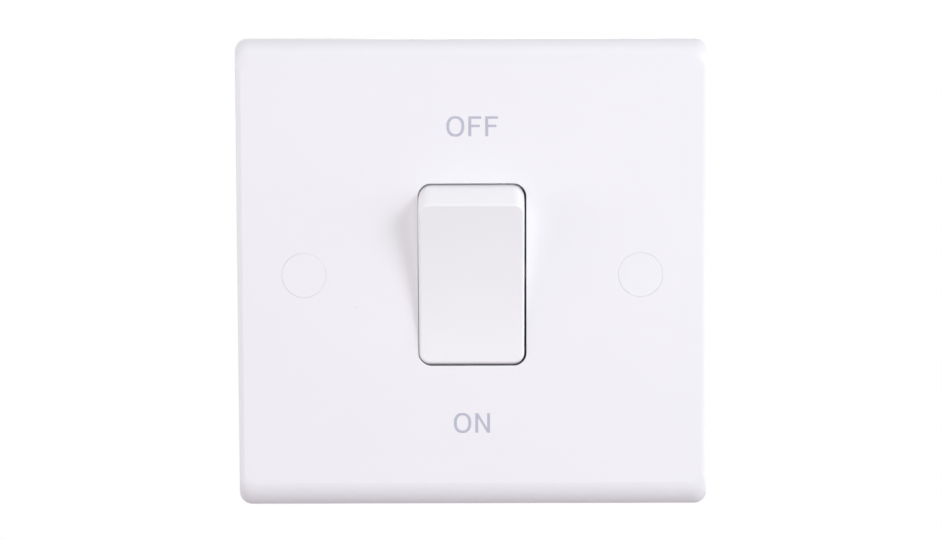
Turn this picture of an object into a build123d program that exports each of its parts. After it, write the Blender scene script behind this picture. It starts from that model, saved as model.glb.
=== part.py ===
from build123d import *
import os
from math import cos, radians, sin, sqrt

os.makedirs("parts", exist_ok=True)

# A flush wall switch that breaks both supply poles with one rocker.
# X is to the right seen from the front, +Y goes back into the wall, +Z is up.
# The origin is the centre of the rim plane that lies on the wall, so the front faces -Y.
# Plane.XZ.offset(f) is a plane f in front of the wall: sketches there are drawn as seen from the front.
# It stands switched on: the foot of the rocker is pressed in and its top stands out.

# plate
plate_w, plate_h, plate_d = 86.0, 84.6, 9.0
face_t, rim_t = 2.5, 2.2
back_f = plate_d - face_t
roll_r = 4.5
corner_r = 2.3
side_draft, side_edge_r = 0.9, 0.95
fixing_x = 30.15
slot_w, slot_l = 4.0, 5.5
seat_f = 5.2
cap_bore_r, cap_r = 4.0, 3.98

# rocker, drawn about its own pivot: forward of the pivot is u, rearward is -u
pivot_f = 3.0
tilt = 9.5
shift = -0.14
end_r = 17.0
dish = 0.8
dish_r = (14.55**2 + dish**2) / (2 * dish)
face_u = 8.0
trunnion_r = 2.0

# mechanism, one set for each pole
pole_x = 5.0
tip_u, tip_r = 10.53, 1.6
arm_y, arm_t = 10.0, 1.5
wing_bend, arm_turn = 10.0, 7.0
upper_wing, lower_wing, contact_out = 14.6, 9.0, 12.4
strap_y, strap_t = 12.0, 1.2
floor_y, housing_back_y = 13.25, 16.0
play = 0.05

# terminals
block_x, block_z, block_w, block_h = 17.05, 20.05, 10.0, 12.1
block_front_y, block_back_y = 3.6, 13.2
tunnel_y, tunnel_r = 7.0, 2.75
clamp_travel = 4.2
ear_x, ear_z = 14.0, 31.2
earth_x, earth_z = 29.4, -25.0

c, s = cos(radians(tilt)), sin(radians(tilt))
rocker_plane = Plane(origin=(shift, -pivot_f, 0), x_dir=(1, 0, 0), z_dir=(0, -c, -s))
rocker_side = Plane(origin=(shift, -pivot_f, 0), x_dir=(0, c, s), z_dir=(1, 0, 0))
ca, sa = cos(radians(arm_turn)), sin(radians(arm_turn))
sides = ((-1, "left"), (1, "right"))
ends = ((1, "load"), (-1, "supply"))


def front(f):
    """Plane f in front of the wall, drawn as seen from the front."""
    return Plane.XZ.offset(f)


def save(part, name):
    """Labels a finished piece and writes it."""
    part.label = name
    export_step(part, f"parts/{name}.step")


def plate_outline(f):
    """Width and height of the plate f in front of the wall: both edges round over towards the face."""
    in_edge = max(0.0, f - plate_d + side_edge_r)
    in_roll = max(0.0, f - plate_d + roll_r)
    half_w = plate_w / 2 - side_draft * f / plate_d - side_edge_r + sqrt(side_edge_r**2 - in_edge**2)
    half_h = plate_h / 2 - 0.03 * min(f, plate_d - roll_r) - roll_r + sqrt(roll_r**2 - in_roll**2)
    return 2 * half_w, 2 * half_h


# The plate: the top and bottom edges roll back, the two sides drop off steeply, and the
# round corners run all the way from the rim to the face.
with BuildPart() as front_plate:
    for turned in (0, 15, 30, 45, 60, 75, 90):
        f = plate_d - roll_r + roll_r * sin(radians(turned))
        with BuildSketch(front(f)):
            RectangleRounded(*plate_outline(f), corner_r)
    loft()
    for f in (0, plate_d - roll_r):
        with BuildSketch(front(f)):
            RectangleRounded(*plate_outline(f), corner_r)
    loft()
    # hollow back
    with BuildSketch(front(0)):
        RectangleRounded(plate_w - 2 * rim_t, plate_h - 2 * rim_t, 1.4)
    extrude(amount=back_f, mode=Mode.SUBTRACT)
    floor_edges = front_plate.edges(Select.LAST).filter_by(lambda e: abs(e.center().Y + back_f) < 0.01)
    fillet(floor_edges, 1.1)
    # stiffening ribs
    with BuildSketch(front(4.5)):
        with Locations((0, ear_z), (0, -ear_z)):
            Rectangle(plate_w - 2 * rim_t + 0.4, 1.2)
        with Locations((36.9, 0), (-36.9, 0)):
            Rectangle(1.2, plate_h - 2 * rim_t + 0.4)
    extrude(amount=back_f - 4.5 + 0.1)
    # pillars of the two fixing screws, bosses of the housing screws
    with BuildSketch(front(0)):
        with Locations((fixing_x, 0), (-fixing_x, 0)):
            Circle(5.75)
    extrude(amount=back_f + 0.1)
    with BuildSketch(front(3.0)):
        with GridLocations(2 * ear_x, 2 * ear_z, 2, 2):
            Circle(3.2)
    extrude(amount=back_f - 3.0 + 0.1)
    with BuildSketch(front(2.9)):
        with GridLocations(2 * ear_x, 2 * ear_z, 2, 2):
            Circle(1.5)
    extrude(amount=4.5, mode=Mode.SUBTRACT)
    # seat that the earth terminal is gripped in
    with BuildSketch(front(2.0)):
        with Locations((earth_x, earth_z)):
            Rectangle(9.2, 8.0)
    extrude(amount=back_f - 2.0 + 0.1)
    with BuildSketch(front(-3.0)):
        with Locations((earth_x - 4.1, earth_z), (earth_x + 4.1, earth_z)):
            Rectangle(1.0, 8.0)
    extrude(amount=5.1)
    # cheeks that hold the trunnions from the front
    with BuildSketch(front(pivot_f + 0.03)):
        with Locations((11.55, 0), (-11.55, 0)):
            Rectangle(2.5, 7.2)
    extrude(amount=back_f - pivot_f + 0.05)
    with BuildSketch(Plane.YZ.offset(-13)):
        with Locations((-pivot_f, 0)):
            Circle(trunnion_r + play)
    extrude(amount=26, mode=Mode.SUBTRACT)
    # counterbores for the caps, with the adjusting slots at their foot
    with BuildSketch(front(seat_f)):
        with Locations((fixing_x, 0), (-fixing_x, 0)):
            Circle(cap_bore_r)
    extrude(amount=plate_d, mode=Mode.SUBTRACT)
    with BuildSketch(front(-1)):
        with Locations((fixing_x, 0), (-fixing_x, 0)):
            SlotOverall(slot_l, slot_w)
    extrude(amount=seat_f + 2, mode=Mode.SUBTRACT)
    # rocker opening, its ends opening out to the rear so that the rocker's ends can swing
    with BuildSketch(front(back_f - 0.05)):
        RectangleRounded(19.7, 34.3, 2.5)
    with BuildSketch(front(plate_d + 0.02)):
        RectangleRounded(19.3, 32.6, 2.3)
    loft(mode=Mode.SUBTRACT)
    mouth = front_plate.edges().filter_by(
        lambda e: abs(e.center().Y + plate_d) < 0.01 and abs(e.center().X) < 9.8 and abs(e.center().Z) < 16.5
    )
    fillet(mouth, 0.18)
save(front_plate.part, "front_plate")

# Press-in caps that hide the fixing screws.
for side, name in sides:
    with BuildPart() as cap:
        with BuildSketch(front(8.0)):
            with Locations((side * fixing_x, 0)):
                Circle(cap_r)
        extrude(amount=plate_d - 8.0)
        chamfer(cap.edges().group_by(Axis.Y)[0], 0.05)
        with BuildSketch(front(6.3)):
            with Locations((side * fixing_x, 0)):
                Circle(cap_r - 0.04)
                Circle(3.4, mode=Mode.SUBTRACT)
                Rectangle(1.6, 9, mode=Mode.SUBTRACT)
                Rectangle(9, 1.6, mode=Mode.SUBTRACT)
        extrude(amount=1.75)
    save(cap.part, f"{name}_screw_cap")

# The rocker: a hollow shell whose ends swing concentric with the pivot.
with BuildPart() as rocker:
    for u, half_w, r in ((0, 9.49, 2.3), (3.2, 9.48, 2.2), (6.2, 9.45, 2.1), (9.2, 9.41, 1.9)):
        with BuildSketch(rocker_plane.offset(u)):
            RectangleRounded(2 * half_w, 2 * sqrt(end_r**2 - u**2), r)
    loft()
    with BuildSketch(rocker_side.offset(-12)):
        with Locations((-face_u - dish_r, 0)):
            Circle(dish_r)
    extrude(amount=24, mode=Mode.SUBTRACT)
    fillet(rocker.edges(Select.LAST), 0.45)
    with BuildSketch(rocker_side.offset(-8.05)):
        Circle(end_r - 1.5)
        with Locations((-face_u - 5.9 - 2.1, 0)):
            Rectangle(20.2, 40, mode=Mode.SUBTRACT)
    extrude(amount=16.1, mode=Mode.SUBTRACT)
    # lips behind the plate that close the gaps at both ends
    with BuildSketch(rocker_plane.offset(-1.0)):
        with Locations((0, 16.85), (0, -16.85)):
            Rectangle(18.6, 2.7)
    extrude(amount=1.1)
    # side lobes and trunnions
    for side, name in sides:
        with BuildSketch(rocker_side.offset(side * 8.05)):
            Circle(3.4)
        extrude(amount=side * 1.35)
        with BuildSketch(rocker_side.offset(side * 9.3)):
            Circle(trunnion_r)
        extrude(amount=side * 2.3)
    # cross rib and the barrels of the two plungers
    with BuildSketch(rocker_plane.offset(1.5)):
        Rectangle(16.2, 1.2)
        Rectangle(1.2, 28.4)
    extrude(amount=4.6)
    with BuildSketch(rocker_plane.offset(-4.5)):
        with Locations((pole_x - shift, 0), (-pole_x - shift, 0)):
            Circle(2.7)
    extrude(amount=10.6)
    with BuildSketch(rocker_plane.offset(-4.6)):
        with Locations((pole_x - shift, 0), (-pole_x - shift, 0)):
            Circle(1.95)
    extrude(amount=10.35, mode=Mode.SUBTRACT)
save(rocker.part, "rocker")

# Plungers and their springs, one of each in each barrel.
for side, name in sides:
    stem = Plane(origin=(side * pole_x, -pivot_f, 0), x_dir=(1, 0, 0), z_dir=(0, -c, -s))
    with BuildPart() as plunger:
        with BuildSketch(stem.offset(-8.6)):
            Circle(1.9)
        extrude(amount=7.4)
        with BuildSketch(stem.offset(-tip_u)):
            Circle(tip_r)
        extrude(amount=tip_u - 8.5)
        with Locations(stem.offset(-tip_u)):
            Sphere(tip_r)
        with BuildSketch(stem.offset(-1.3)):
            Circle(0.95)
        extrude(amount=2.6)
    save(plunger.part, f"{name}_plunger")

    foot = stem.offset(-0.95)
    with BuildPart() as spring:
        with BuildLine() as coil:
            Helix(pitch=1.29, height=6.45, radius=1.4, center=foot.origin, direction=foot.z_dir)
        with BuildSketch(Plane(origin=coil.line @ 0, z_dir=coil.line % 0)):
            RegularPolygon(0.22, 6)
        sweep(is_frenet=True)
    save(spring.part, f"{name}_plunger_spring")

# Rocking contact arms: two wings bent towards the rocker, turning on side pins.
wing_fwd, wing_up = sin(radians(wing_bend)), cos(radians(wing_bend))
for side, name in sides:
    x0 = side * pole_x
    arm_side = Plane(origin=(x0, arm_y, 0), x_dir=(0, ca, -sa), z_dir=(1, 0, 0))
    tilt_back = radians(wing_bend - arm_turn)
    seat_z = contact_out * cos(tilt_back)
    seat_y = arm_y - contact_out * sin(tilt_back)
    wing_out = Plane(
        origin=(x0, seat_y, seat_z), x_dir=(1, 0, 0), z_dir=(0, cos(tilt_back), sin(tilt_back))
    )
    with BuildPart() as arm:
        with BuildSketch(arm_side.offset(-3.0)):
            for way, length in ((1, upper_wing), (-1, lower_wing)):
                a = radians(90 + way * wing_bend) if way > 0 else radians(-90 - wing_bend)
                middle = (-wing_fwd * length / 2, way * wing_up * length / 2)
                with Locations(Location((middle[0], middle[1], 0), (0, 0, way * wing_bend))):
                    Rectangle(arm_t, length)
            Circle(arm_t / 2)
        extrude(amount=6.0)
        with BuildSketch(arm_side.offset(-3.95)):
            Circle(1.15)
        extrude(amount=1.0)
        with BuildSketch(arm_side.offset(2.95)):
            Circle(1.15)
        extrude(amount=1.0)
        with BuildSketch(wing_out.offset(-2)):
            Circle(1.0)
        extrude(amount=4, mode=Mode.SUBTRACT)
    save(arm.part, f"{name}_contact_arm")

    with BuildPart() as moving:
        with BuildSketch(wing_out.offset(arm_t / 2)):
            Circle(2.0)
        extrude(amount=0.8)
        with Locations(wing_out.offset(arm_t / 2 + 0.8 - 8.0)):
            Sphere(8.0, mode=Mode.INTERSECT)
        with BuildSketch(wing_out.offset(-arm_t / 2 - 0.4)):
            Circle(0.98)
        extrude(amount=arm_t + 0.5)
        with BuildSketch(wing_out.offset(-arm_t / 2 - 0.4)):
            Circle(1.5)
        extrude(amount=0.4)
    save(moving.part, f"{name}_moving_contact")

    # contact that stands still, riveted to the strap of the load side
    with BuildPart() as fixed:
        with BuildSketch(front(-strap_y)):
            with Locations((x0, seat_z)):
                Circle(2.2)
        extrude(amount=1.04)
        chamfer(fixed.edges().group_by(Axis.Y)[0], 0.2)
        with BuildSketch(front(-strap_y - strap_t)):
            with Locations((x0, seat_z)):
                Circle(0.98)
        extrude(amount=strap_t + 0.1)
    save(fixed.part, f"{name}_fixed_contact")

    with BuildPart() as strap:
        with BuildSketch(front(-strap_y - strap_t)):
            with Locations((x0, 14.5)):
                Rectangle(6.0, 10.0)
            with Locations((side * 7.05, 17.25)):
                Rectangle(10.0, 4.5)
            with Locations((x0, seat_z)):
                Circle(1.0, mode=Mode.SUBTRACT)
        extrude(amount=strap_t)
    save(strap.part, f"{name}_load_strap")

    with BuildPart() as bracket:
        with BuildSketch(front(-strap_y - strap_t)):
            with Locations((x0, -8.25)):
                Rectangle(8.0, 22.5)
            with Locations((side * 6.55, -17.25)):
                Rectangle(11.0, 4.5)
        extrude(amount=strap_t)
        for cheek in (-3.525, 3.525):
            with BuildSketch(Plane.YZ.offset(x0 + cheek - 0.475)):
                with Locations((10.7, 0)):
                    Rectangle(2.7, 5.0)
                with Locations((arm_y, 0)):
                    Circle(1.2, mode=Mode.SUBTRACT)
                with Locations((arm_y - 0.5, 0)):
                    Rectangle(1.0, 2.4, mode=Mode.SUBTRACT)
            extrude(amount=0.95)
        with BuildSketch(front(-strap_y - 0.1)):
            with Locations((x0, -7.5)):
                Circle(1.2)
        extrude(amount=1.65)
    save(bracket.part, f"{name}_pivot_bracket")

    # tunnel terminals and their clamping screws, backed out so that the tunnels are open
    for end, job in ends:
        bx, bz = side * block_x, end * block_z
        with BuildPart() as block:
            with BuildSketch(front(-block_back_y)):
                with Locations((bx, bz)):
                    RectangleRounded(block_w, block_h, 0.6)
            extrude(amount=block_back_y - block_front_y)
            with BuildSketch(Plane.XY.offset(end * block_z - 10)):
                with Locations((bx, tunnel_y)):
                    Circle(tunnel_r)
            extrude(amount=20, mode=Mode.SUBTRACT)
            with BuildSketch(front(-block_back_y - 1)):
                with Locations((bx, bz)):
                    Circle(2.0)
            extrude(amount=block_back_y - tunnel_y + 1, mode=Mode.SUBTRACT)
        save(block.part, f"{job}_terminal_{name}")

        with BuildPart() as screw:
            with BuildSketch(front(-17.5)):
                with Locations((bx, bz)):
                    Circle(1.95)
            extrude(amount=7.5)
            chamfer(screw.edges().group_by(Axis.Y)[0], 0.5)
            with BuildSketch(front(-19.3)):
                with Locations((bx, bz)):
                    Circle(3.0)
            extrude(amount=1.8)
            chamfer(screw.edges().group_by(Axis.Y)[-1], 0.3)
            with BuildSketch(front(-19.4)):
                with Locations((bx, bz)):
                    Rectangle(7, 0.9)
            extrude(amount=1.0, mode=Mode.SUBTRACT)
        save(screw.part, f"{job}_screw_{name}")

    # cover that closes the terminal bay and props against the back of the plate
    with BuildPart() as cover:
        with BuildSketch(front(-3.5)):
            with Locations((side * block_x, 0)):
                RectangleRounded(block_w, 52.0, 1.2)
        extrude(amount=1.9)
        with BuildSketch(front(-1.7)):
            with Locations((side * block_x, 9.5), (side * block_x, -9.5)):
                Circle(1.6)
        extrude(amount=1.7 + back_f - play)
    save(cover.part, f"{name}_terminal_cover")

# The housing that carries the mechanism and is screwed to the plate by four ears.
with BuildPart() as mechanism_housing:
    with BuildSketch(front(-housing_back_y)):
        RectangleRounded(48.0, 56.0, 2.0)
    extrude(amount=housing_back_y + back_f - 0.2)
    with BuildSketch(front(-floor_y)):
        RectangleRounded(44.4, 52.4, 1.0)
    extrude(amount=floor_y + back_f, mode=Mode.SUBTRACT)
    # walls between mechanism bay and terminal bays, and between the two poles
    with BuildSketch(front(-floor_y - 0.1)):
        with Locations((11.125, 0), (-11.125, 0)):
            Rectangle(1.65, 52.6)
    extrude(amount=floor_y + 1.1)
    with BuildSketch(front(-floor_y - 0.1)):
        Rectangle(1.2, 52.6)
    extrude(amount=floor_y - 2.4)
    with BuildSketch(front(-floor_y - 0.1)):
        with GridLocations(2 * 17.1, 2 * 13.1, 2, 2):
            Rectangle(10.4, 1.6)
    extrude(amount=floor_y + 0.1 - 3.55)
    # seats that hold the trunnions from behind
    with BuildSketch(front(0.9)):
        with Locations((11.125, 0), (-11.125, 0)):
            Rectangle(1.65, 7.2)
    extrude(amount=pivot_f - 0.05 - 0.9)
    with BuildSketch(Plane.YZ.offset(-12.5)):
        with Locations((-pivot_f, 0)):
            Circle(trunnion_r + play)
    extrude(amount=25, mode=Mode.SUBTRACT)
    # slots that the straps pass through
    with BuildSketch(front(-floor_y)):
        with GridLocations(2 * 11.125, 2 * 17.25, 2, 2):
            Rectangle(1.9, 4.7)
    extrude(amount=1.35, mode=Mode.SUBTRACT)
    # collared wells over the clamping screws
    with BuildSketch(front(-housing_back_y - 0.8)):
        with GridLocations(2 * block_x, 2 * block_z, 2, 2):
            Circle(4.5)
    extrude(amount=0.9)
    with BuildSketch(front(-housing_back_y - 1)):
        with GridLocations(2 * block_x, 2 * block_z, 2, 2):
            Circle(3.25)
    extrude(amount=housing_back_y - floor_y + 1.1, mode=Mode.SUBTRACT)
    # cable entries in the top and bottom walls
    with BuildSketch(Plane.XY.offset(-29)):
        with Locations((block_x, tunnel_y), (-block_x, tunnel_y)):
            Circle(3.3)
    extrude(amount=58, mode=Mode.SUBTRACT, taper=0)
    # ears
    with BuildSketch(front(0.6)):
        with GridLocations(2 * ear_x, 2 * 30.4, 2, 2):
            RectangleRounded(8.0, 7.2, 1.5)
        RectangleRounded(47.0, 55.0, 1.0, mode=Mode.SUBTRACT)
        with GridLocations(2 * ear_x, 2 * ear_z, 2, 2):
            Circle(1.5, mode=Mode.SUBTRACT)
    extrude(amount=2.4)
save(mechanism_housing.part, "mechanism_housing")

# Four alike screws through the ears into the plate's bosses.
with BuildPart() as housing_screws:
    with BuildSketch(front(-0.55)):
        with GridLocations(2 * ear_x, 2 * ear_z, 2, 2):
            Circle(1.42)
    extrude(amount=7.5)
    with BuildSketch(front(-1.15)):
        with GridLocations(2 * ear_x, 2 * ear_z, 2, 2):
            Circle(2.75)
    extrude(amount=1.7)
    with BuildSketch(front(-1.2)):
        with GridLocations(2 * ear_x, 2 * ear_z, 2, 2):
            Rectangle(3.2, 0.7)
            Rectangle(0.7, 3.2)
    extrude(amount=1.0, mode=Mode.SUBTRACT)
save(housing_screws.part, "housing_screws")

# Earth terminal, gripped in its seat on the plate.
with BuildPart() as earth_terminal:
    with BuildSketch(front(-8.0)):
        with Locations((earth_x, earth_z)):
            RectangleRounded(7.1, 8.0, 0.5)
    extrude(amount=9.95)
    with BuildSketch(Plane.XY.offset(earth_z - 6)):
        with Locations((earth_x, 2.6)):
            Circle(2.0)
    extrude(amount=12, mode=Mode.SUBTRACT)
    with BuildSketch(front(-9)):
        with Locations((earth_x, earth_z)):
            Circle(1.75)
    extrude(amount=6.4, mode=Mode.SUBTRACT)
save(earth_terminal.part, "earth_terminal")

with BuildPart() as earth_screw:
    with BuildSketch(front(-11.2)):
        with Locations((earth_x, earth_z)):
            Circle(1.7)
    extrude(amount=6.4)
    chamfer(earth_screw.edges().group_by(Axis.Y)[0], 0.4)
    with BuildSketch(front(-12.8)):
        with Locations((earth_x, earth_z)):
            Circle(2.7)
    extrude(amount=1.6)
    with BuildSketch(front(-12.9)):
        with Locations((earth_x, earth_z)):
            Rectangle(6, 0.8)
    extrude(amount=0.9, mode=Mode.SUBTRACT)
save(earth_screw.part, "earth_terminal_screw")
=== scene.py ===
# %% [markdown]
# # A double pole wall switch
# A white moulded plate with rolled top and bottom edges, a rocker that stands switched on, two
# flush caps over the fixing screws and, behind the plate, the housing with its contacts and
# terminals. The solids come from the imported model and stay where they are: this file gives them
# finishes, adds what is too fine for them (print, threads, wound wire, ejector pads), and sets up
# the studio.

# %% Load the frame
import math

import bmesh
import bpy
import numpy as np
from mathutils import Matrix, Vector


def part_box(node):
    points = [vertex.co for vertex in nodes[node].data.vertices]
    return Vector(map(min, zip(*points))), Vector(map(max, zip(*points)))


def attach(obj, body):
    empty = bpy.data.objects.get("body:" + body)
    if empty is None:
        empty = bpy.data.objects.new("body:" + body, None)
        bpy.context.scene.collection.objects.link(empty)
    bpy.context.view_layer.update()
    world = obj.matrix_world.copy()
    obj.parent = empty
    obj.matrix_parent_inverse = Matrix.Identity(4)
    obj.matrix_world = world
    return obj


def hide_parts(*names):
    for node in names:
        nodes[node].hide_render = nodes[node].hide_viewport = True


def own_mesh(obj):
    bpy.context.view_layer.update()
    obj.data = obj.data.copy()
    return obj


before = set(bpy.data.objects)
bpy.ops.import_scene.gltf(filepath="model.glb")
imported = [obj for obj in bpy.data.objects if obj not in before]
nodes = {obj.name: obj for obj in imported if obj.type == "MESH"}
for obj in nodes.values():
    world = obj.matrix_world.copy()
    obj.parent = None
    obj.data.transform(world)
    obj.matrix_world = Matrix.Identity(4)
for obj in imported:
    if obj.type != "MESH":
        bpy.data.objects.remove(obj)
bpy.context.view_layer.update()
MM = 0.001
TURN = 2 * np.pi
HANDS = ("left", "right")
CIRCUITS = ("load", "supply")

# %% [markdown]
# ## Surfaces from numbers
# Every new piece is a surface over a grid: one parameter runs along it, the other around it, and
# whole arrays give the points. Primitives and modifiers could make most of these shapes too, but
# a formula says exactly where each point lies. A grid is turned into quads by joining each row to
# the next. Where a row closes on itself it wraps, and an end is closed by one face. Points that
# meet are welded, and a closed piece that came out inside out, which its signed volume tells, is
# turned round.

# %% Grid helper
MEET = 1e-8


def weld_and_turn_out(mesh):
    """Joins points closer than MEET, drops what has no area and turns a mesh of negative volume round."""
    skin = bmesh.new()
    skin.from_mesh(mesh)
    bmesh.ops.remove_doubles(skin, verts=skin.verts, dist=MEET)
    bmesh.ops.dissolve_degenerate(skin, dist=MEET, edges=skin.edges)
    if skin.calc_volume(signed=True) < 0:
        bmesh.ops.reverse_faces(skin, faces=skin.faces)
    skin.to_mesh(mesh)
    skin.free()


def grid_piece(name, points, wrap_u=False, wrap_v=False, cap_u=False, smooth=True, closed=True):
    """Quads between neighbours of points[u, v]; wrapping joins last to first, caps close both ends of u."""
    rows, cols = points.shape[:2]
    index = np.arange(rows * cols).reshape(rows, cols)
    u = np.arange(rows if wrap_u else rows - 1)
    v = np.arange(cols if wrap_v else cols - 1)
    uu, vv = np.meshgrid(u, v, indexing="ij")
    quads = np.stack([index[uu, vv], index[(uu + 1) % rows, vv],
                      index[(uu + 1) % rows, (vv + 1) % cols], index[uu, (vv + 1) % cols]], -1)
    faces = quads.reshape(-1, 4).tolist()
    if cap_u:
        faces += [index[0].tolist(), index[-1][::-1].tolist()]
    mesh = bpy.data.meshes.new(name)
    mesh.from_pydata(points.reshape(-1, 3).tolist(), [], faces)
    mesh.polygons.foreach_set("use_smooth", [smooth] * len(mesh.polygons))
    mesh.validate()
    if closed:
        weld_and_turn_out(mesh)
    piece = bpy.data.objects.new(name, mesh)
    bpy.context.scene.collection.objects.link(piece)
    return piece


def finished(piece, material, body="base"):
    """Gives a piece its material and lets it ride on a body."""
    piece.data.materials.clear()
    piece.data.materials.append(material)
    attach(piece, body)
    return piece


# %% [markdown]
# ## Finishes
# A finish is a small program on Object coordinates, which are metres here, so a noise scale is
# a number of waves for each metre. It could be wired by hand in the shader editor. The class
# below lets it be written as sums and products instead: a wrapped socket adds its own Math node
# when it meets an operator.

# %% Varying values
class Value:
    """A number or vector that varies over a surface, held by a node's output socket."""

    def __init__(self, finish, socket):
        self.finish, self.socket = finish, socket

    def math(self, operation, a, b):
        return self.finish.node("ShaderNodeMath", {"operation": operation}, {0: a, 1: b})

    def __add__(self, other):
        return self.math("ADD", self, other)

    __radd__ = __add__

    def __rsub__(self, other):
        return self.math("SUBTRACT", other, self)

    def __mul__(self, other):
        return self.math("MULTIPLY", self, other)

    __rmul__ = __mul__

    def above(self, level, width):
        """0 below level, 1 beyond level plus width, smooth between."""
        return self.finish.node("ShaderNodeMapRange", {"interpolation_type": "SMOOTHSTEP"},
                                {"Value": self, "From Min": level, "From Max": level + width})


# %% [markdown]
# The second class is a material. It makes nodes on demand, and its few patterns (noise, distance,
# blend and bump) are all that the finishes below are put together from.

# %% A finish
class Finish:
    """One material; its main shader takes constants and varying values."""

    def __init__(self, name, colour, rough, **constants):
        self.material = bpy.data.materials.new(name)
        self.material.use_nodes = True
        self.tree = self.material.node_tree
        self.shader = self.tree.nodes["Principled BSDF"]
        self.set("Base Color", (*colour, 1.0))
        self.set("Roughness", rough)
        for key, value in constants.items():
            self.set(key, value)

    def node(self, kind, settings=None, inputs=None, output=0):
        """Adds a node: its settings first, then a value or a link for each input; gives back one output."""
        made = self.tree.nodes.new(kind)
        for key, value in (settings or {}).items():
            setattr(made, key, value)
        for key, value in (inputs or {}).items():
            if isinstance(value, Value):
                self.tree.links.new(value.socket, made.inputs[key])
            else:
                made.inputs[key].default_value = value
        return Value(self, made.outputs[output])

    def set(self, key, value):
        """Sets or links one input of the main shader."""
        if isinstance(value, Value):
            self.tree.links.new(value.socket, self.shader.inputs[key])
        else:
            self.shader.inputs[key].default_value = value

    def place(self, stretch=(1, 1, 1), centre=(0, 0, 0)):
        """Object coordinates from a centre, stretched so that a pattern can run one way."""
        at = self.node("ShaderNodeTexCoord", output="Object")
        moved = self.node("ShaderNodeVectorMath", {"operation": "SUBTRACT"}, {0: at, 1: centre})
        return self.node("ShaderNodeVectorMath", {"operation": "MULTIPLY"}, {0: moved, 1: stretch})

    def distance_from(self, centre=(0, 0, 0)):
        """Length of the way from a centre, in metres."""
        away = self.place(centre=centre)
        return self.node("ShaderNodeVectorMath", {"operation": "LENGTH"}, {0: away}, output="Value")

    def noise(self, scale, detail=2.0, rough=0.5, stretch=(1, 1, 1)):
        """Cloudy values from 0 to 1, with scale waves a metre before the stretch."""
        return self.node("ShaderNodeTexNoise", {}, {"Vector": self.place(stretch), "Scale": scale,
                                                    "Detail": detail, "Roughness": rough})

    def blend(self, factor, a, b):
        """Colour a where factor is 0, colour b where it is 1."""
        a = a if isinstance(a, Value) else (*a, 1.0)
        b = b if isinstance(b, Value) else (*b, 1.0)
        return self.node("ShaderNodeMix", {"data_type": "RGBA"}, {0: factor, 6: a, 7: b}, output=2)

    def bump(self, height, distance, base=None):
        """Raises the surface by height times distance, in metres, on top of the bump in base."""
        inputs = {"Height": height, "Distance": distance, "Strength": 1.0}
        if base is not None:
            inputs["Normal"] = base
        return self.node("ShaderNodeBump", {}, inputs)


def shade(colour, k):
    """A colour made k times as light."""
    return tuple(min(1.0, c * k) for c in colour)


# %% [markdown]
# ## White mouldings
# The plate is urea, pressed in a polished tool: a hard, slightly glossy white with a faint
# lavender cast. Close up its gloss is broken by a very fine orange peel, the colour clouds by a
# percent or so where the powder flowed, and a few tiny dark grains are caught in the surface. One
# plain colour would do from afar, but flat white looks like no material at all, so noises of
# several scales give cloud, wipe marks and peel. The rocker is injection moulded in another
# plastic, warmer and glossier; its colour is painted a little lighter than the plate's to make up
# for the shade on its face, which leans downward.

# %% Moulded white
CLOUDS, FLOW, WIPES, PEEL, SWELL = 38, 14, 220, 1500, 160      # waves a metre
SPECK_CELLS, SPECK_SIZE = 190.0, 0.06        # cells a metre; radius of a grain in cells
CHOICE_CELLS, CHOICE_LEVEL = 61.0, 0.70      # a slower noise above this level lets grains show
SPECK_BROWN, SPECK_DEPTH, FLAW_BROWN = (0.42, 0.38, 0.36), 0.30, (0.25, 0.22, 0.21)
PEEL_HEIGHT, SWELL_HEIGHT = 2.0e-6, 8.0e-6


def moulded(name, colour, warm, rough, specked=False, flaws=()):
    """Cloudy colour, broken gloss and orange peel; specked scatters grains, flaws are single ones."""
    f = Finish(name, colour, rough, IOR=1.5)
    cloud = f.noise(CLOUDS, 3.0)
    flow = f.noise(FLOW, 2.0, stretch=(1, 1, 0.35))
    tint = f.blend(cloud.above(0.35, 0.4), shade(colour, 0.992), colour)
    tint = f.blend(flow.above(0.45, 0.35) * 0.35, tint, warm)
    if specked:
        cells = f.node("ShaderNodeTexVoronoi", {"feature": "F1"}, {"Vector": f.place(), "Scale": SPECK_CELLS})
        chosen = f.noise(CHOICE_CELLS, 0.0).above(CHOICE_LEVEL, 0.04)
        grain = (1 - cells.above(SPECK_SIZE, SPECK_SIZE / 2)) * chosen
        tint = f.blend(grain * SPECK_DEPTH, tint, SPECK_BROWN)
    for centre, radius, depth in flaws:
        outside = f.distance_from(centre).above(radius * 0.5, radius * 0.5)
        tint = f.blend((1 - outside) * depth, tint, FLAW_BROWN)
    f.set("Base Color", tint)
    wiped = f.noise(WIPES, 2.0, stretch=(0.25, 1, 1))
    f.set("Roughness", rough - 0.02 + 0.06 * wiped)
    peel = f.bump(f.noise(PEEL, 2.0), PEEL_HEIGHT)
    f.set("Normal", f.bump(f.noise(SWELL, 1.0), SWELL_HEIGHT, base=peel))
    return f.material


# centre, radius, depth of colour
edge_grain = ((0.0427, -0.0085, 0.0352), 0.00022, 0.8)
face_grain = ((-0.0208, -0.009, -0.0057), 0.00018, 0.2)
plate_white = moulded("pressed_urea", (0.864, 0.865, 0.892), (0.871, 0.864, 0.887), 0.33,
                      specked=True, flaws=(edge_grain, face_grain))
cap_white = moulded("cap_urea", (0.863, 0.860, 0.894), (0.868, 0.860, 0.889), 0.31)
# painted light: the rocker's colour is set lighter than the plate's to make up for the shade on its
# downward-leaning face
rocker_white = moulded("rocker_moulding", (0.893, 0.895, 0.912), (0.898, 0.893, 0.908), 0.30)
print("white mouldings", plate_white.name, cap_white.name, rocker_white.name)

# %% [markdown]
# The housing and the terminal covers are a duller, creamier nylon from a spark-eroded tool, so
# their skin has a fine even grain, which one dense noise bumps. Plungers are acetal: whiter,
# smoother and waxy.

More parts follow.
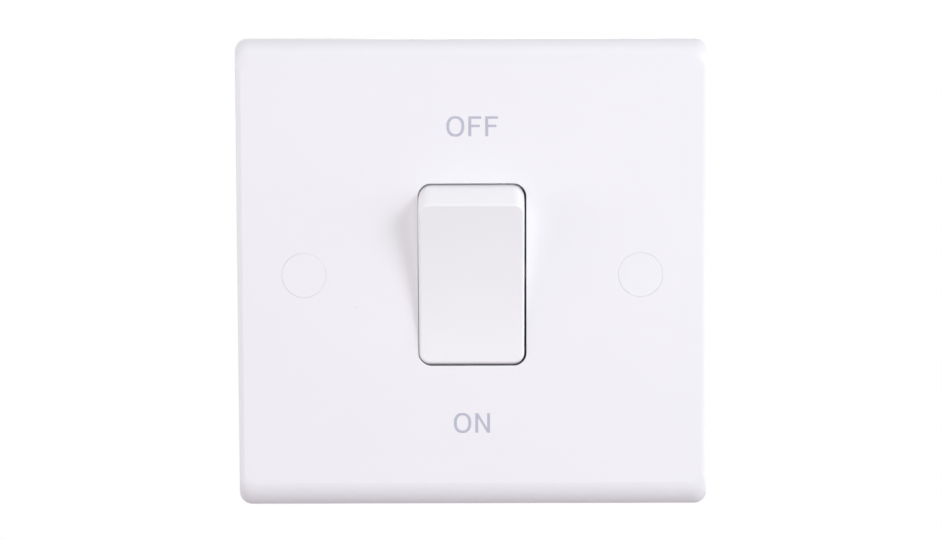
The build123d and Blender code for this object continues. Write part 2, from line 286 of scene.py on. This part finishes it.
# %% Inner plastics
KNIT, GLOSS_SPOTS, SPARKS = 30, 700, 5200    # waves a metre


def spark_grained(name, colour, rough, grain):
    """Slow clouds a shade darker, uneven gloss, and a dense grain of that height."""
    f = Finish(name, colour, rough, IOR=1.48)
    knit = f.noise(KNIT, 4.0, stretch=(1, 0.4, 1))
    f.set("Base Color", f.blend(knit.above(0.4, 0.3), shade(colour, 0.955), colour))
    f.set("Roughness", rough - 0.05 + 0.12 * f.noise(GLOSS_SPOTS, 3.0))
    f.set("Normal", f.bump(f.noise(SPARKS, 3.0, 0.65), grain))
    return f.material


nylon = spark_grained("grained_nylon", (0.80, 0.785, 0.735), 0.58, 1.6e-5)
acetal = spark_grained("waxy_acetal", (0.84, 0.83, 0.78), 0.36, 3.0e-6)
print("inner plastics", nylon.name, acetal.name)

# %% [markdown]
# ## Metals
# Drawn brass keeps the streaks of its bar, stamped copper those of the rolling mill with a brown
# bloom, silver contacts a dull tarnish, and the zinc plating on the screws a grey crystal mottle.
# Scratches could be modelled one by one, but they are finer than a pixel, so in each metal the
# streaks are one noise stretched along the direction of working.

# %% Worked metal
PATCHES, STREAK_HEIGHT = 420, 6.0e-6         # waves a metre; metres


def worked(name, colour, dark, rough, stretch, streak_scale, bloom=0.5):
    """Streaks along the direction of working, patches of bloom, and gloss that follows both."""
    f = Finish(name, colour, rough, Metallic=1.0)
    streaks = f.noise(streak_scale, 3.0, 0.6, stretch)
    patches = f.noise(PATCHES, 4.0, 0.6)
    tarnish = patches.above(1 - bloom, 0.35)
    f.set("Base Color", f.blend(tarnish * 0.6 + streaks * 0.25, colour, dark))
    f.set("Roughness", rough + 0.16 * tarnish + 0.10 * streaks)
    f.set("Normal", f.bump(streaks, STREAK_HEIGHT))
    return f.material


brass = worked("drawn_brass", (0.80, 0.62, 0.31), (0.52, 0.37, 0.17), 0.26, (1, 1, 0.06), 2600)
copper = worked("rolled_copper", (0.85, 0.50, 0.36), (0.47, 0.24, 0.16), 0.28, (1, 1, 0.05), 2600)
silver = worked("silver_contact", (0.86, 0.85, 0.82), (0.55, 0.52, 0.47), 0.30, (1, 1, 1), 3000)
zinc = worked("zinc_plate", (0.55, 0.56, 0.58), (0.34, 0.345, 0.35), 0.36, (1, 0.15, 1), 2400, 0.4)
spring_wire = worked("spring_wire", (0.60, 0.60, 0.62), (0.33, 0.32, 0.32), 0.22, (1, 1, 1), 3000, 0.3)
print("metals", [m.name for m in (brass, copper, silver, zinc, spring_wire)])

# %% [markdown]
# The screws' own pieces carry an attribute, the distance from their axis, so that their zinc can
# show the fine rings that a lathe tool leaves across a head. Object coordinates alone can't do
# this, because every screw has its axis somewhere else.

# %% Turned zinc
RINGS, CRYSTALS, RING_HEIGHT = 9000, 900, 2.0e-6               # waves a metre, twice; metres
turned = Finish("turned_zinc", (0.55, 0.56, 0.58), 0.34, Metallic=1.0)
from_axis = turned.node("ShaderNodeAttribute", {"attribute_name": "from_axis"}, output="Fac")
ring_at = turned.node("ShaderNodeCombineXYZ", {}, {"X": from_axis * RINGS, "Y": 0.0, "Z": 0.0},
                      output="Vector")
rings = turned.node("ShaderNodeTexNoise", {}, {"Vector": ring_at, "Scale": 1.0, "Detail": 3.0})
mottle = turned.noise(CRYSTALS, 3.0).above(0.45, 0.25)
turned.set("Base Color", turned.blend(mottle * 0.45 + rings * 0.3, (0.58, 0.59, 0.605), (0.34, 0.34, 0.335)))
turned.set("Roughness", 0.30 + 0.14 * mottle + 0.06 * rings)
turned.set("Normal", turned.bump(rings, RING_HEIGHT))
print("screws' own metal", turned.material.name)

# %% [markdown]
# ## Which solid wears which finish
# Each solid is one moulding or one piece of metal, so it takes one finish.

# %% Dress the solids
dress = {"front_plate": plate_white, "rocker": rocker_white, "mechanism_housing": nylon,
         "housing_screws": zinc, "earth_terminal": brass, "earth_terminal_screw": zinc}
for hand in HANDS:
    dress[f"{hand}_screw_cap"] = cap_white
    dress[f"{hand}_plunger"], dress[f"{hand}_plunger_spring"] = acetal, spring_wire
    dress[f"{hand}_terminal_cover"] = nylon
    for part in ("contact_arm", "load_strap", "pivot_bracket"):
        dress[f"{hand}_{part}"] = copper
    dress[f"{hand}_moving_contact"] = dress[f"{hand}_fixed_contact"] = silver
    for circuit in CIRCUITS:
        dress[f"{circuit}_terminal_{hand}"], dress[f"{circuit}_screw_{hand}"] = brass, zinc
for name, material in dress.items():
    nodes[name].data.materials.clear()
    nodes[name].data.materials.append(material)
print("dressed", len(dress), "of", len(nodes), "missing", sorted(set(nodes) - set(dress)))

# %% [markdown]
# ## Ejector pads
# Pins push the two mouldings out of their tools and leave faint round pads: six on the back of
# the housing and four on the inner face of the plate. A bump could draw them, but light from the
# side shows that they stand up, so each is a surface over radius and angle.

# %% Ejector pads
PAD_RADIUS, PAD_HEIGHT, PAD_MIDDLE, PAD_SUNK = 1.75 * MM, 0.06 * MM, 0.05 * MM, 0.01 * MM
FALL_ROWS, PAD_SIDES = 5, 40
HOUSING_BACK_Y, PLATE_INSIDE_Y = 16.0, -6.5                    # millimetres, like the places below


def ejector_pad(name, x, y, z):
    """A disc, level but for its rim, where it falls as a quarter circle as wide as it is high.

    Its last row lies a hair inside the moulding.
    """
    fall = np.linspace(0, np.pi / 2, FALL_ROWS)
    r = np.concatenate([[PAD_MIDDLE], PAD_RADIUS - PAD_HEIGHT + PAD_HEIGHT * np.sin(fall)])
    up = np.concatenate([[PAD_HEIGHT], PAD_HEIGHT * np.cos(fall)])
    up[-1] = -PAD_SUNK
    turn = np.linspace(0, TURN, PAD_SIDES, endpoint=False)
    rr, tt = np.meshgrid(r, turn, indexing="ij")
    yy = np.repeat(y + up[:, None], len(turn), 1)
    points = np.stack([x + rr * np.cos(tt), yy, z + rr * np.sin(tt)], -1)
    return grid_piece(name, points, wrap_v=True, cap_u=True)


pads = [("housing", x, HOUSING_BACK_Y, z, nylon, "housing_nylon") for x in (-7.5, 7.5) for z in (-14, 0, 14)]
pads += [("plate", x, PLATE_INSIDE_Y, z, plate_white, "white_urea") for x in (-22, 22) for z in (-36, 36)]
for i, (where, x, y, z, material, slot_name) in enumerate(pads):
    finished(ejector_pad(f"{where}_pad_{i}", x * MM, y * MM, z * MM), material)
print("ejector pads", len(pads))

# %% [markdown]
# ## Clamping screws
# The solid screws have plain shanks, so the five that clamp wires are remade here. A Screw
# modifier could wind a thread too, but one formula also lets it run out at the point. A shank is
# a surface over height and angle: its radius rides a ridge whose phase is the height in pitches
# minus the angle in turns, which makes one helix, and it narrows to the root at the point.

# %% Thread
THREAD_DEPTH, RUN_OUT = 0.6, 1.3             # both in pitches
CREST_GAIN, POINT_SHARE = 1.3, 0.9           # flattens the crest; the point's radius over the root's
THREAD_ROWS, THREAD_SIDES = 10, 36           # rows for each turn


def thread(name, x, z, y_tip, y_head, crest, pitch):
    """Radius = root + (crest - root) times a triangle wave with a flat top, and less near the point."""
    turns = (y_head - y_tip) / pitch
    heights = np.linspace(y_tip, y_head, int(turns * THREAD_ROWS))
    y, angle = np.meshgrid(heights, np.linspace(0, TURN, THREAD_SIDES, endpoint=False), indexing="ij")
    phase = (y / pitch - angle / TURN) % 1
    ridge = np.clip(CREST_GAIN * (1 - np.abs(2 * phase - 1)), 0, 1)
    root = crest - THREAD_DEPTH * pitch
    point = root * POINT_SHARE
    run_out = np.clip((y - y_tip) / (RUN_OUT * pitch), 0, 1)
    radius = np.minimum(root + (crest - root) * ridge, point + (crest - point) * run_out)
    points = np.stack([x + radius * np.cos(angle), y, z + radius * np.sin(angle)], -1)
    return grid_piece(name, points, wrap_v=True, cap_u=True)


# %% [markdown]
# A head has a bevelled rim and a slot for the screwdriver. A boolean could saw the slot, but it
# leaves ragged faces, so the head is cut into slices across its slot: each slice is a loop whose
# width is the chord of the head and whose top drops to the floor of the slot between its edges.

# %% Slotted head
SLICES, SHARP = 18, math.radians(32)         # slices on each side of the slot


def slotted_head(name, x, z, y_in, y_out, radius, slot_w, slot_d, bevel):
    """Half a slice's width is the chord, sqrt(radius^2 - across^2); its top falls off over the bevel.

    Each slice runs from the rim's foot up, over the bevel, across and down again.
    """
    edge = slot_w / 2
    outer = radius * np.cos(np.linspace(0, np.arccos(edge / radius), SLICES))
    across = np.concatenate([-outer, [-edge, 0, edge], outer[::-1]])
    in_slot = np.zeros(len(across), bool)
    in_slot[SLICES:SLICES + 3] = True
    chord = np.sqrt(np.maximum(radius**2 - across**2, 0))
    flat = np.sqrt(np.maximum((radius - bevel)**2 - across**2, 0))
    top = y_out - np.maximum(np.abs(across) - (radius - bevel), 0)
    top = np.where(in_slot, y_out - slot_d, top)
    rim = np.minimum(top, y_out - bevel)
    low = np.full_like(top, y_in)
    widths = np.stack([-chord, -chord, -flat, 0 * flat, flat, chord, chord], -1)
    heights = np.stack([low, rim, top, top, top, rim, low], -1)
    depths = np.repeat(across[:, None], widths.shape[1], 1)
    piece = grid_piece(name, np.stack([x + widths, heights, z + depths], -1), wrap_v=True)
    piece.data.set_sharp_from_angle(angle=SHARP)
    return piece


# %% [markdown]
# Each new screw takes its place and length from the box of the solid one that it replaces, so
# that it stays right if the solid changes. The one for the earth is a size smaller.

# %% Five screws
# thread's crest and pitch, head's radius and thickness, slot's width, all in millimetres
TERMINAL_SCREW = (1.95, 0.7, 3.0, 1.8, 0.9)
EARTH_SCREW = (1.7, 0.6, 2.7, 1.6, 0.8)
SLOT_DEPTH, HEAD_BEVEL = 0.85 * MM, 0.3 * MM

# node, body that carries it, sizes
clamps = [(f"{circuit}_screw_{hand}", f"{circuit}_screw_{hand}", TERMINAL_SCREW)
          for circuit in CIRCUITS for hand in HANDS]
clamps.append(("earth_terminal_screw", "earth_screw", EARTH_SCREW))
for node, body, sizes in clamps:
    crest, pitch, head_r, head_t, slot_w = (size * MM for size in sizes)
    low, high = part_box(node)
    x, z = (low[0] + high[0]) / 2, (low[2] + high[2]) / 2
    neck = high[1] - head_t
    shank = thread(f"{node}_thread", x, z, low[1], neck, crest, pitch)
    head = slotted_head(f"{node}_head", x, z, neck, high[1], head_r, slot_w, SLOT_DEPTH, HEAD_BEVEL)
    for piece in (shank, head):
        at = np.empty(3 * len(piece.data.vertices))
        piece.data.vertices.foreach_get("co", at)
        away = np.hypot(at[0::3] - x, at[2::3] - z)
        piece.data.attributes.new("from_axis", "FLOAT", "POINT").data.foreach_set("value", away)
        finished(piece, turned.material, body)
        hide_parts(node)
print("screws remade", len(clamps))

# %% [markdown]
# ## Plunger springs
# Each plunger is pushed out of its barrel by a coil of round wire with closed ends. A bevelled
# curve would give the same wire, but its frame can twist, and here the circle is carried along
# the helix by plain sums. The wire's centre winds about the tilted barrel, slowly at both ends
# and at an even pitch between. The coil rides on the rocker and keeps its length.

# %% Springs
BARREL_X, PIVOT_Y = 5.0, -3.0
COIL_TURNS, COIL_RADIUS, WIRE = 6.5, 1.4 * MM, 0.22 * MM       # WIRE is the wire's radius
SEAT_GAP = 1.05                                                # wire radii from an end to its seat
COIL_ROWS, WIRE_SIDES = 32, 12                                 # rows for each turn
tilt, seat_u, floor_u, travel = math.radians(9.5), -1.2 * MM, 5.75 * MM, 1.2 * MM
forward = np.array([0.0, -math.cos(tilt), -math.sin(tilt)])
across_barrel = np.array([1.0, 0.0, 0.0])
up_barrel = np.array([0.0, -math.sin(tilt), math.cos(tilt)])


def coil(name, origin):
    """Centre = origin + u forward + radius out; at the ends u climbs about one wire's width a turn.

    The tube is the centre plus wire times (cosine out + sine forward).
    """
    turn = np.linspace(0, COIL_TURNS, int(COIL_TURNS * COIL_ROWS))
    first, last, closed_pitch = seat_u + SEAT_GAP * WIRE, floor_u - SEAT_GAP * WIRE, 2 * SEAT_GAP * WIRE
    u = np.interp(turn, [0, 1, COIL_TURNS - 1, COIL_TURNS],
                  [first, first + closed_pitch, last - closed_pitch, last])
    angle = TURN * turn[:, None]
    out = np.cos(angle) * across_barrel + np.sin(angle) * up_barrel
    centre = origin + u[:, None] * forward + COIL_RADIUS * out
    ring = np.linspace(0, TURN, WIRE_SIDES, endpoint=False)[None, :, None]
    points = centre[:, None] + WIRE * (np.cos(ring) * out[:, None] + np.sin(ring) * forward)
    return grid_piece(name, points, wrap_v=True, cap_u=True)


for hand, x in zip(HANDS, (-BARREL_X, BARREL_X)):
    pivot = np.array([x, PIVOT_Y, 0.0]) * MM
    piece = finished(coil(f"{hand}_spring_coil", pivot), spring_wire, "rocker")
    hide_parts(f"{hand}_plunger_spring")
    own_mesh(piece)

# %% [markdown]
# ## Printed words
# ON and OFF are pad printed: flat grey letters a hundredth of a millimetre thick, plain and
# rather wide. A font would bring a shape of its own, so the letters are drawn from measures:
# straight strokes are bars, and the O is a ring between two rounded ovals whose sides are heavier
# than its top and bottom. Each letter is a closed band carried on a grid.

# %% Strokes
FACE_Y, INK_T, INK_SUNK = -9.0 * MM, 0.012 * MM, 0.004 * MM
HEAVY, LIGHT = 0.52 * MM, 0.44 * MM
ROUNDNESS, OVAL_SIDES = 2.3, 72


def slab(outline):
    """The outline twice: a hair inside the plate's face and one thickness of ink in front of it."""
    ring = np.asarray(outline, float)
    back = np.stack([ring[:, 0], np.full(len(ring), FACE_Y + INK_SUNK), ring[:, 1]], -1)
    lid = back - [0, INK_T + INK_SUNK, 0]
    return np.stack([back, lid])


def oval_band(x0, x1, z, height):
    """Two rounded ovals, |x/a|^n + |z/b|^n = 1 with n = ROUNDNESS, joined as a flat ring."""
    t = np.linspace(0, TURN, OVAL_SIDES, endpoint=False)
    power = 2 / ROUNDNESS
    cx, a, b = (x0 + x1) / 2, (x1 - x0) / 2, height / 2
    c, s = np.cos(t), np.sin(t)
    ux, uz = np.sign(c) * np.abs(c) ** power, np.sign(s) * np.abs(s) ** power
    outer = np.stack([cx + a * ux, z + b * uz], -1)
    inner = np.stack([cx + (a - HEAVY) * ux, z + (b - LIGHT) * uz], -1)
    low_o, top_o = slab(outer)
    low_i, top_i = slab(inner)
    return np.stack([low_o, top_o, top_i, low_i])


def bar(x0, z0, x1, z1):
    """An upright or level stroke between two opposite corners."""
    return slab([(x0, z0), (x1, z0), (x1, z1), (x0, z1)])


# %% [markdown]
# The ink is a satin blue grey. A pad lays it on unevenly, so a fine noise takes it a shade
# lighter or darker and leaves the faintest texture.

# %% Ink
ink = Finish("pad_print_grey", (0.480, 0.485, 0.590), 0.42, IOR=1.5)
worn = ink.noise(900, 3.0).above(0.35, 0.4)
ink.set("Base Color", ink.blend(worn, (0.505, 0.510, 0.615), (0.465, 0.470, 0.575)))
ink.set("Normal", ink.bump(ink.noise(3000, 2.0), 2.0e-6))
print("ink", ink.material.name)

# %% [markdown]
# Each letter has a left and a right end, measured in millimetres from the middle of the plate.
# OFF stands above the rocker and ON below it.

# %% Letters
CAP_H, O_HEIGHT = 3.55 * MM, 3.66 * MM
F_ARM_UP, N_STROKE_H = 0.07 * MM, 0.86 * MM
letters = []


def letter_o(x0, x1, z):
    """One ring from x0 to x1, in millimetres."""
    band = oval_band(x0 * MM, x1 * MM, z, O_HEIGHT)
    letters.append(grid_piece(f"print_o_{len(letters)}", band, wrap_u=True, wrap_v=True, smooth=False))


def letter_bars(kind, outlines):
    """One closed piece for each stroke of a letter."""
    for points in outlines:
        name = f"print_{kind}_{len(letters)}"
        letters.append(grid_piece(name, points, wrap_v=True, cap_u=True, smooth=False))


def letter_f(x0, x1, x_mid, z):
    """A stem, an upper arm that ends at x1 and a middle arm that ends at x_mid."""
    half, mid = CAP_H / 2, z + F_ARM_UP
    x0, x1, x_mid = x0 * MM, x1 * MM, x_mid * MM
    letter_bars("f", (bar(x0, z - half, x0 + HEAVY, z + half),
                      bar(x0 + HEAVY, z + half - LIGHT, x1, z + half),
                      bar(x0 + HEAVY, mid - LIGHT / 2, x_mid, mid + LIGHT / 2)))


def letter_n(x0, x1, z):
    """Two stems and a slanting stroke from the top of the first to the foot of the second."""
    half, x0, x1 = CAP_H / 2, x0 * MM, x1 * MM
    top, low = z + half, z - half
    slanting = slab([(x0 + HEAVY, top - N_STROKE_H), (x1 - HEAVY, low),
                     (x1 - HEAVY, low + N_STROKE_H), (x0 + HEAVY, top)])
    letter_bars("n", (bar(x0, low, x0 + HEAVY, top), bar(x1 - HEAVY, low, x1, top), slanting))


off_z, on_z = 26.60 * MM, -26.76 * MM
letter_o(-4.53, -1.34, off_z)
letter_f(-0.62, 1.68, 1.41, off_z)
letter_f(2.39, 4.67, 4.38, off_z)
letter_o(-3.40, -0.27, on_z)
letter_n(0.47, 3.12, on_z)
for piece in letters:
    finished(piece, ink.material)
print("letters", len(letters), "pieces")

# %% [markdown]
# ## Studio
# The switch hangs free in front of white, as in a catalogue. The floor lies well below it, takes
# its shadow, fades to white, and can be seen through from beneath. A floor that only catches
# shadows would be simpler, but this one also throws a little light up at the lower edge.

# %% Floor
FLOOR_Z, FLOOR_HALF, FLOOR_ROWS = -0.2, 0.6, 25
FADE_FROM, FADE_OVER = 0.24, 0.30            # distances from the middle of the plate, in metres
along = np.linspace(-FLOOR_HALF, FLOOR_HALF, FLOOR_ROWS)
xx, yy = np.meshgrid(along, along, indexing="ij")
floor = grid_piece("studio_floor", np.stack([xx, yy, np.full_like(xx, FLOOR_Z)], -1), closed=False)
pale = Finish("studio_floor", (0.585, 0.548, 0.572), 0.9)
far = pale.distance_from().above(FADE_FROM, FADE_OVER)
seen = pale.node("ShaderNodeLightPath", output="Is Camera Ray")
white = pale.node("ShaderNodeEmission", {}, {"Color": (1, 1, 1, 1), "Strength": 1.0}, output="Emission")
plain = Value(pale, pale.shader.outputs[0])
mixed = pale.node("ShaderNodeMixShader", {}, {0: far * seen, 1: plain, 2: white})
beneath = pale.node("ShaderNodeNewGeometry", output="Backfacing")
clear = pale.node("ShaderNodeBsdfTransparent")
one_sided = pale.node("ShaderNodeMixShader", {}, {0: beneath * seen, 1: mixed, 2: clear})
pale.tree.links.new(one_sided.socket, pale.tree.nodes["Material Output"].inputs["Surface"])
floor.data.materials.append(pale.material)
print("floor", FLOOR_Z, "fades to white from", FADE_FROM, "to", FADE_FROM + FADE_OVER)

# %% [markdown]
# The world is white where the camera, a reflection or a refraction sees it, and a plain grey
# light elsewhere. Were it white for all rays, the plate would lose its shading.

# %% World
AMBIENT, ROOM_TINT, WHITE = 0.44, (1.0, 0.93, 0.965, 1), (1, 1, 1, 1)
world = bpy.data.worlds.new("studio_white")
bpy.context.scene.world = world
world.use_nodes = True
tree = world.node_tree
paths = tree.nodes.new("ShaderNodeLightPath")
sky = tree.nodes["Background"]


def world_math(operation, a, b):
    """A Math node of the world's own tree; a and b are numbers or sockets."""
    made = tree.nodes.new("ShaderNodeMath")
    made.operation = operation
    for slot_index, value in enumerate((a, b)):
        if isinstance(value, (int, float)):
            made.inputs[slot_index].default_value = value
        else:
            tree.links.new(value, made.inputs[slot_index])
    return made.outputs[0]


mirrored = world_math("MAXIMUM", paths.outputs["Is Glossy Ray"], paths.outputs["Is Transmission Ray"])
shown = world_math("MAXIMUM", paths.outputs["Is Camera Ray"], mirrored)
strength = world_math("ADD", world_math("MULTIPLY", shown, 1 - AMBIENT), AMBIENT)
tree.links.new(strength, sky.inputs["Strength"])
room = tree.nodes.new("ShaderNodeMix")
room.data_type = "RGBA"
room.inputs[6].default_value, room.inputs[7].default_value = ROOM_TINT, WHITE
tree.links.new(shown, room.inputs[0])
tree.links.new(room.outputs[2], sky.inputs["Color"])
print("world", world.name, "ambient", AMBIENT)

# %% [markdown]
# The light is soft: two cool lamps stand far round to the right, one high and one level, and cast
# the shadow beside the raised end of the rocker. A weaker one lights the upper edges from above,
# and others fill from the front, the left side and behind. Sun lamps would throw a hard shadow,
# so all are square areas, and the nearer and larger one is, the softer its shadow's edge.

# %% Lamps
def from_side(azimuth, elevation):
    """Unit vector towards whoever looks from there: azimuth to the right of straight ahead, elevation up."""
    a, e = math.radians(azimuth), math.radians(elevation)
    return Vector((math.sin(a) * math.cos(e), -math.cos(a) * math.cos(e), math.sin(e)))


def facing(target, back, distance):
    """Place and turn of something that looks at target from distance along back."""
    return Matrix.Translation(target + back * distance) @ back.to_track_quat("Z", "Y").to_matrix().to_4x4()


def lamp(name, azimuth, elevation, distance, size, watts, colour):
    """A square area lamp that looks at the middle of the plate from that side."""
    data = bpy.data.lights.new(name, "AREA")
    data.size, data.energy, data.color = size, watts, colour
    made = bpy.data.objects.new(name, data)
    made.matrix_world = facing(Vector((0, 0, 0)), from_side(azimuth, elevation), distance)
    bpy.context.scene.collection.objects.link(made)


cool, warm, even, neutral = (0.925, 0.992, 1.02), (1.0, 0.958, 0.952), (0.985, 0.985, 0.98), (1, 1, 1)
# name, azimuth, elevation, distance, size, watts, colour
lamps = (("key", 50, 24, 1.2, 0.5, 6.3, cool),
         ("low_key", 66, -1, 0.9, 0.5, 1.5, cool),
         ("fill", 0, -3, 1.2, 0.6, 1.8, warm),
         ("above", 4, 62, 1.2, 0.7, 1.0, neutral),
         ("left_side", -78, 8, 0.9, 0.6, 2.8, even),
         ("behind", 165, 4, 0.9, 0.6, 2.5, neutral))
for row in lamps:
    lamp(*row)
print("lamps", [row[0] for row in lamps])

# %% [markdown]
# ## Camera
# A long lens looks almost straight at the plate, about five degrees from above and turned a
# fifth of a degree about its own axis, since the plate stands that much askew in the picture.
# Distance, focal length and height were fitted to the spacing of the caps, the plate's outline
# and how far the rocker's raised top appears shifted.

# %% Camera
azimuth, elevation, roll, distance = 0.2, 5.2, -0.18, 0.450
lens, sensor, nearest, furthest = 94.1, 36.0, 0.01, 20
target = Vector((-0.00026, 0, 0.00008))
camera_data = bpy.data.cameras.new("camera")
camera_data.lens, camera_data.sensor_width = lens, sensor
camera_data.clip_start, camera_data.clip_end = nearest, furthest
camera = bpy.data.objects.new("camera", camera_data)
camera.matrix_world = facing(target, from_side(azimuth, elevation), distance)
camera.matrix_world @= Matrix.Rotation(math.radians(roll), 4, "Z")
bpy.context.scene.collection.objects.link(camera)
bpy.context.scene.camera = camera
bpy.context.scene.view_settings.view_transform = "Standard"
print("camera", lens, "mm lens at", distance, "m")
